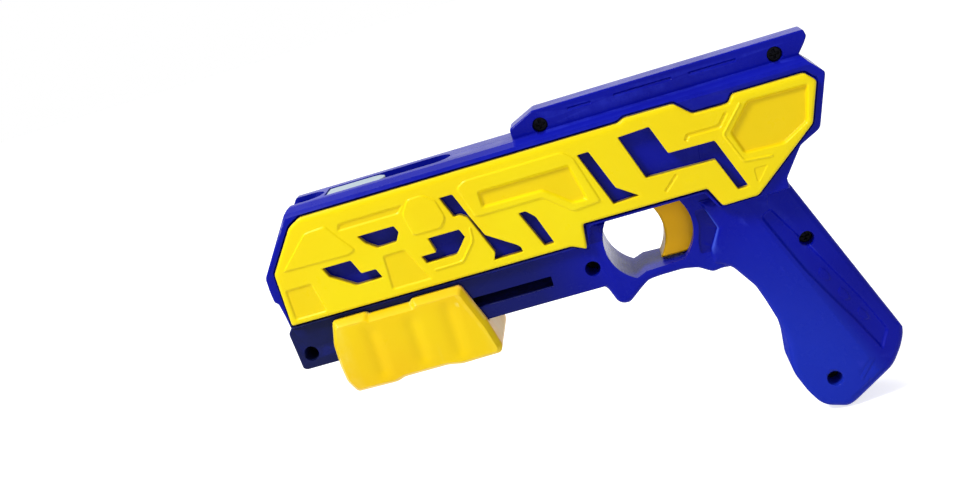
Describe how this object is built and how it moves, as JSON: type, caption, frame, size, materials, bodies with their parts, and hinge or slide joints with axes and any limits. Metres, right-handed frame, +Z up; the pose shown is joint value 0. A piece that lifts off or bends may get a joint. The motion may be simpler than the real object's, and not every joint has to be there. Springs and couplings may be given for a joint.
{
  "type": "spinning top launcher",
  "caption": "Hand-held launcher: pulling the pump cocks a sprung carriage, and the trigger lets it spin and release a top held in the muzzle.",
  "frame": {"origin": "centre of the stem socket's mouth, on the barrel axis", "axes": "-X points out of the muzzle, +Z is up with the launcher held for use, -Y is the left side, which the picture shows"},
  "size_m": [0.2079, 0.0366, 0.1321],
  "materials": {
    "blue_shell": "gloss",
    "yellow_cover": "satin",
    "yellow_pump": "satin",
    "orange_trim": "satin",
    "white_drive": "satin",
    "grey_slide": "satin",
    "bearing_nylon": "satin",
    "steel": "satin",
    "spring_steel": "satin",
    "screw_steel": "satin",
    "brass": "satin",
    "black_rubber": "matte"
  },
  "bodies": {
    "housing": {"left_shell": "blue_shell", "right_shell": "blue_shell", "left_cover": "yellow_cover", "right_cover": "yellow_cover", "muzzle_ring": "orange_trim", "front_bearing": "bearing_nylon", "rear_bearing": "bearing_nylon", "spring_washer": "steel", "bumper": "black_rubber", "main_spring": "spring_steel", "sear_pin": "steel", "sear_spring": "spring_steel", "trigger_spring": "spring_steel", "housing_screws": "screw_steel", "cover_screws": "screw_steel"},
    "pump": {"pump_left_half": "yellow_pump", "pump_right_half": "yellow_pump", "pump_screws": "screw_steel", "slide_block": "grey_slide", "carriage": "white_drive", "spindle_nut": "brass"},
    "spindle": {"chuck": "white_drive", "spindle": "steel", "thrust_washer": "steel", "retaining_clip": "steel"},
    "trigger": {"trigger": "orange_trim"},
    "sear": {"sear_lever": "grey_slide"}
  },
  "joints": [
    {"name": "pump_slide", "type": "slide", "parent": "housing", "child": "pump", "axis": [1, 0, 0], "range_m": [0, 0.024], "stiffness_N_per_m": 150, "springref_m": -0.02, "deforming": ["main_spring"]},
    {"name": "spindle_spin", "type": "hinge", "parent": "housing", "child": "spindle", "pos_m": [0, 0, 0], "axis": [1, 0, 0], "range_deg": [0, 271]},
    {"name": "trigger_slide", "type": "slide", "parent": "housing", "child": "trigger", "axis": [1, 0, 0], "range_m": [0, 0.004], "stiffness_N_per_m": 300, "springref_m": -0.004, "deforming": ["trigger_spring"]},
    {"name": "sear_pivot", "type": "hinge", "parent": "housing", "child": "sear", "pos_m": [0.104, 0, -0.014], "axis": [0, 1, 0], "range_deg": [-11.6, 0], "deforming": ["sear_spring"]}
  ],
  "couplings": [
    {"joint": "spindle_spin", "follows": "pump_slide", "rad_per_m": 196.35},
    {"joint": "sear_pivot", "follows": "trigger_slide", "rad_per_m": -50}
  ]
}
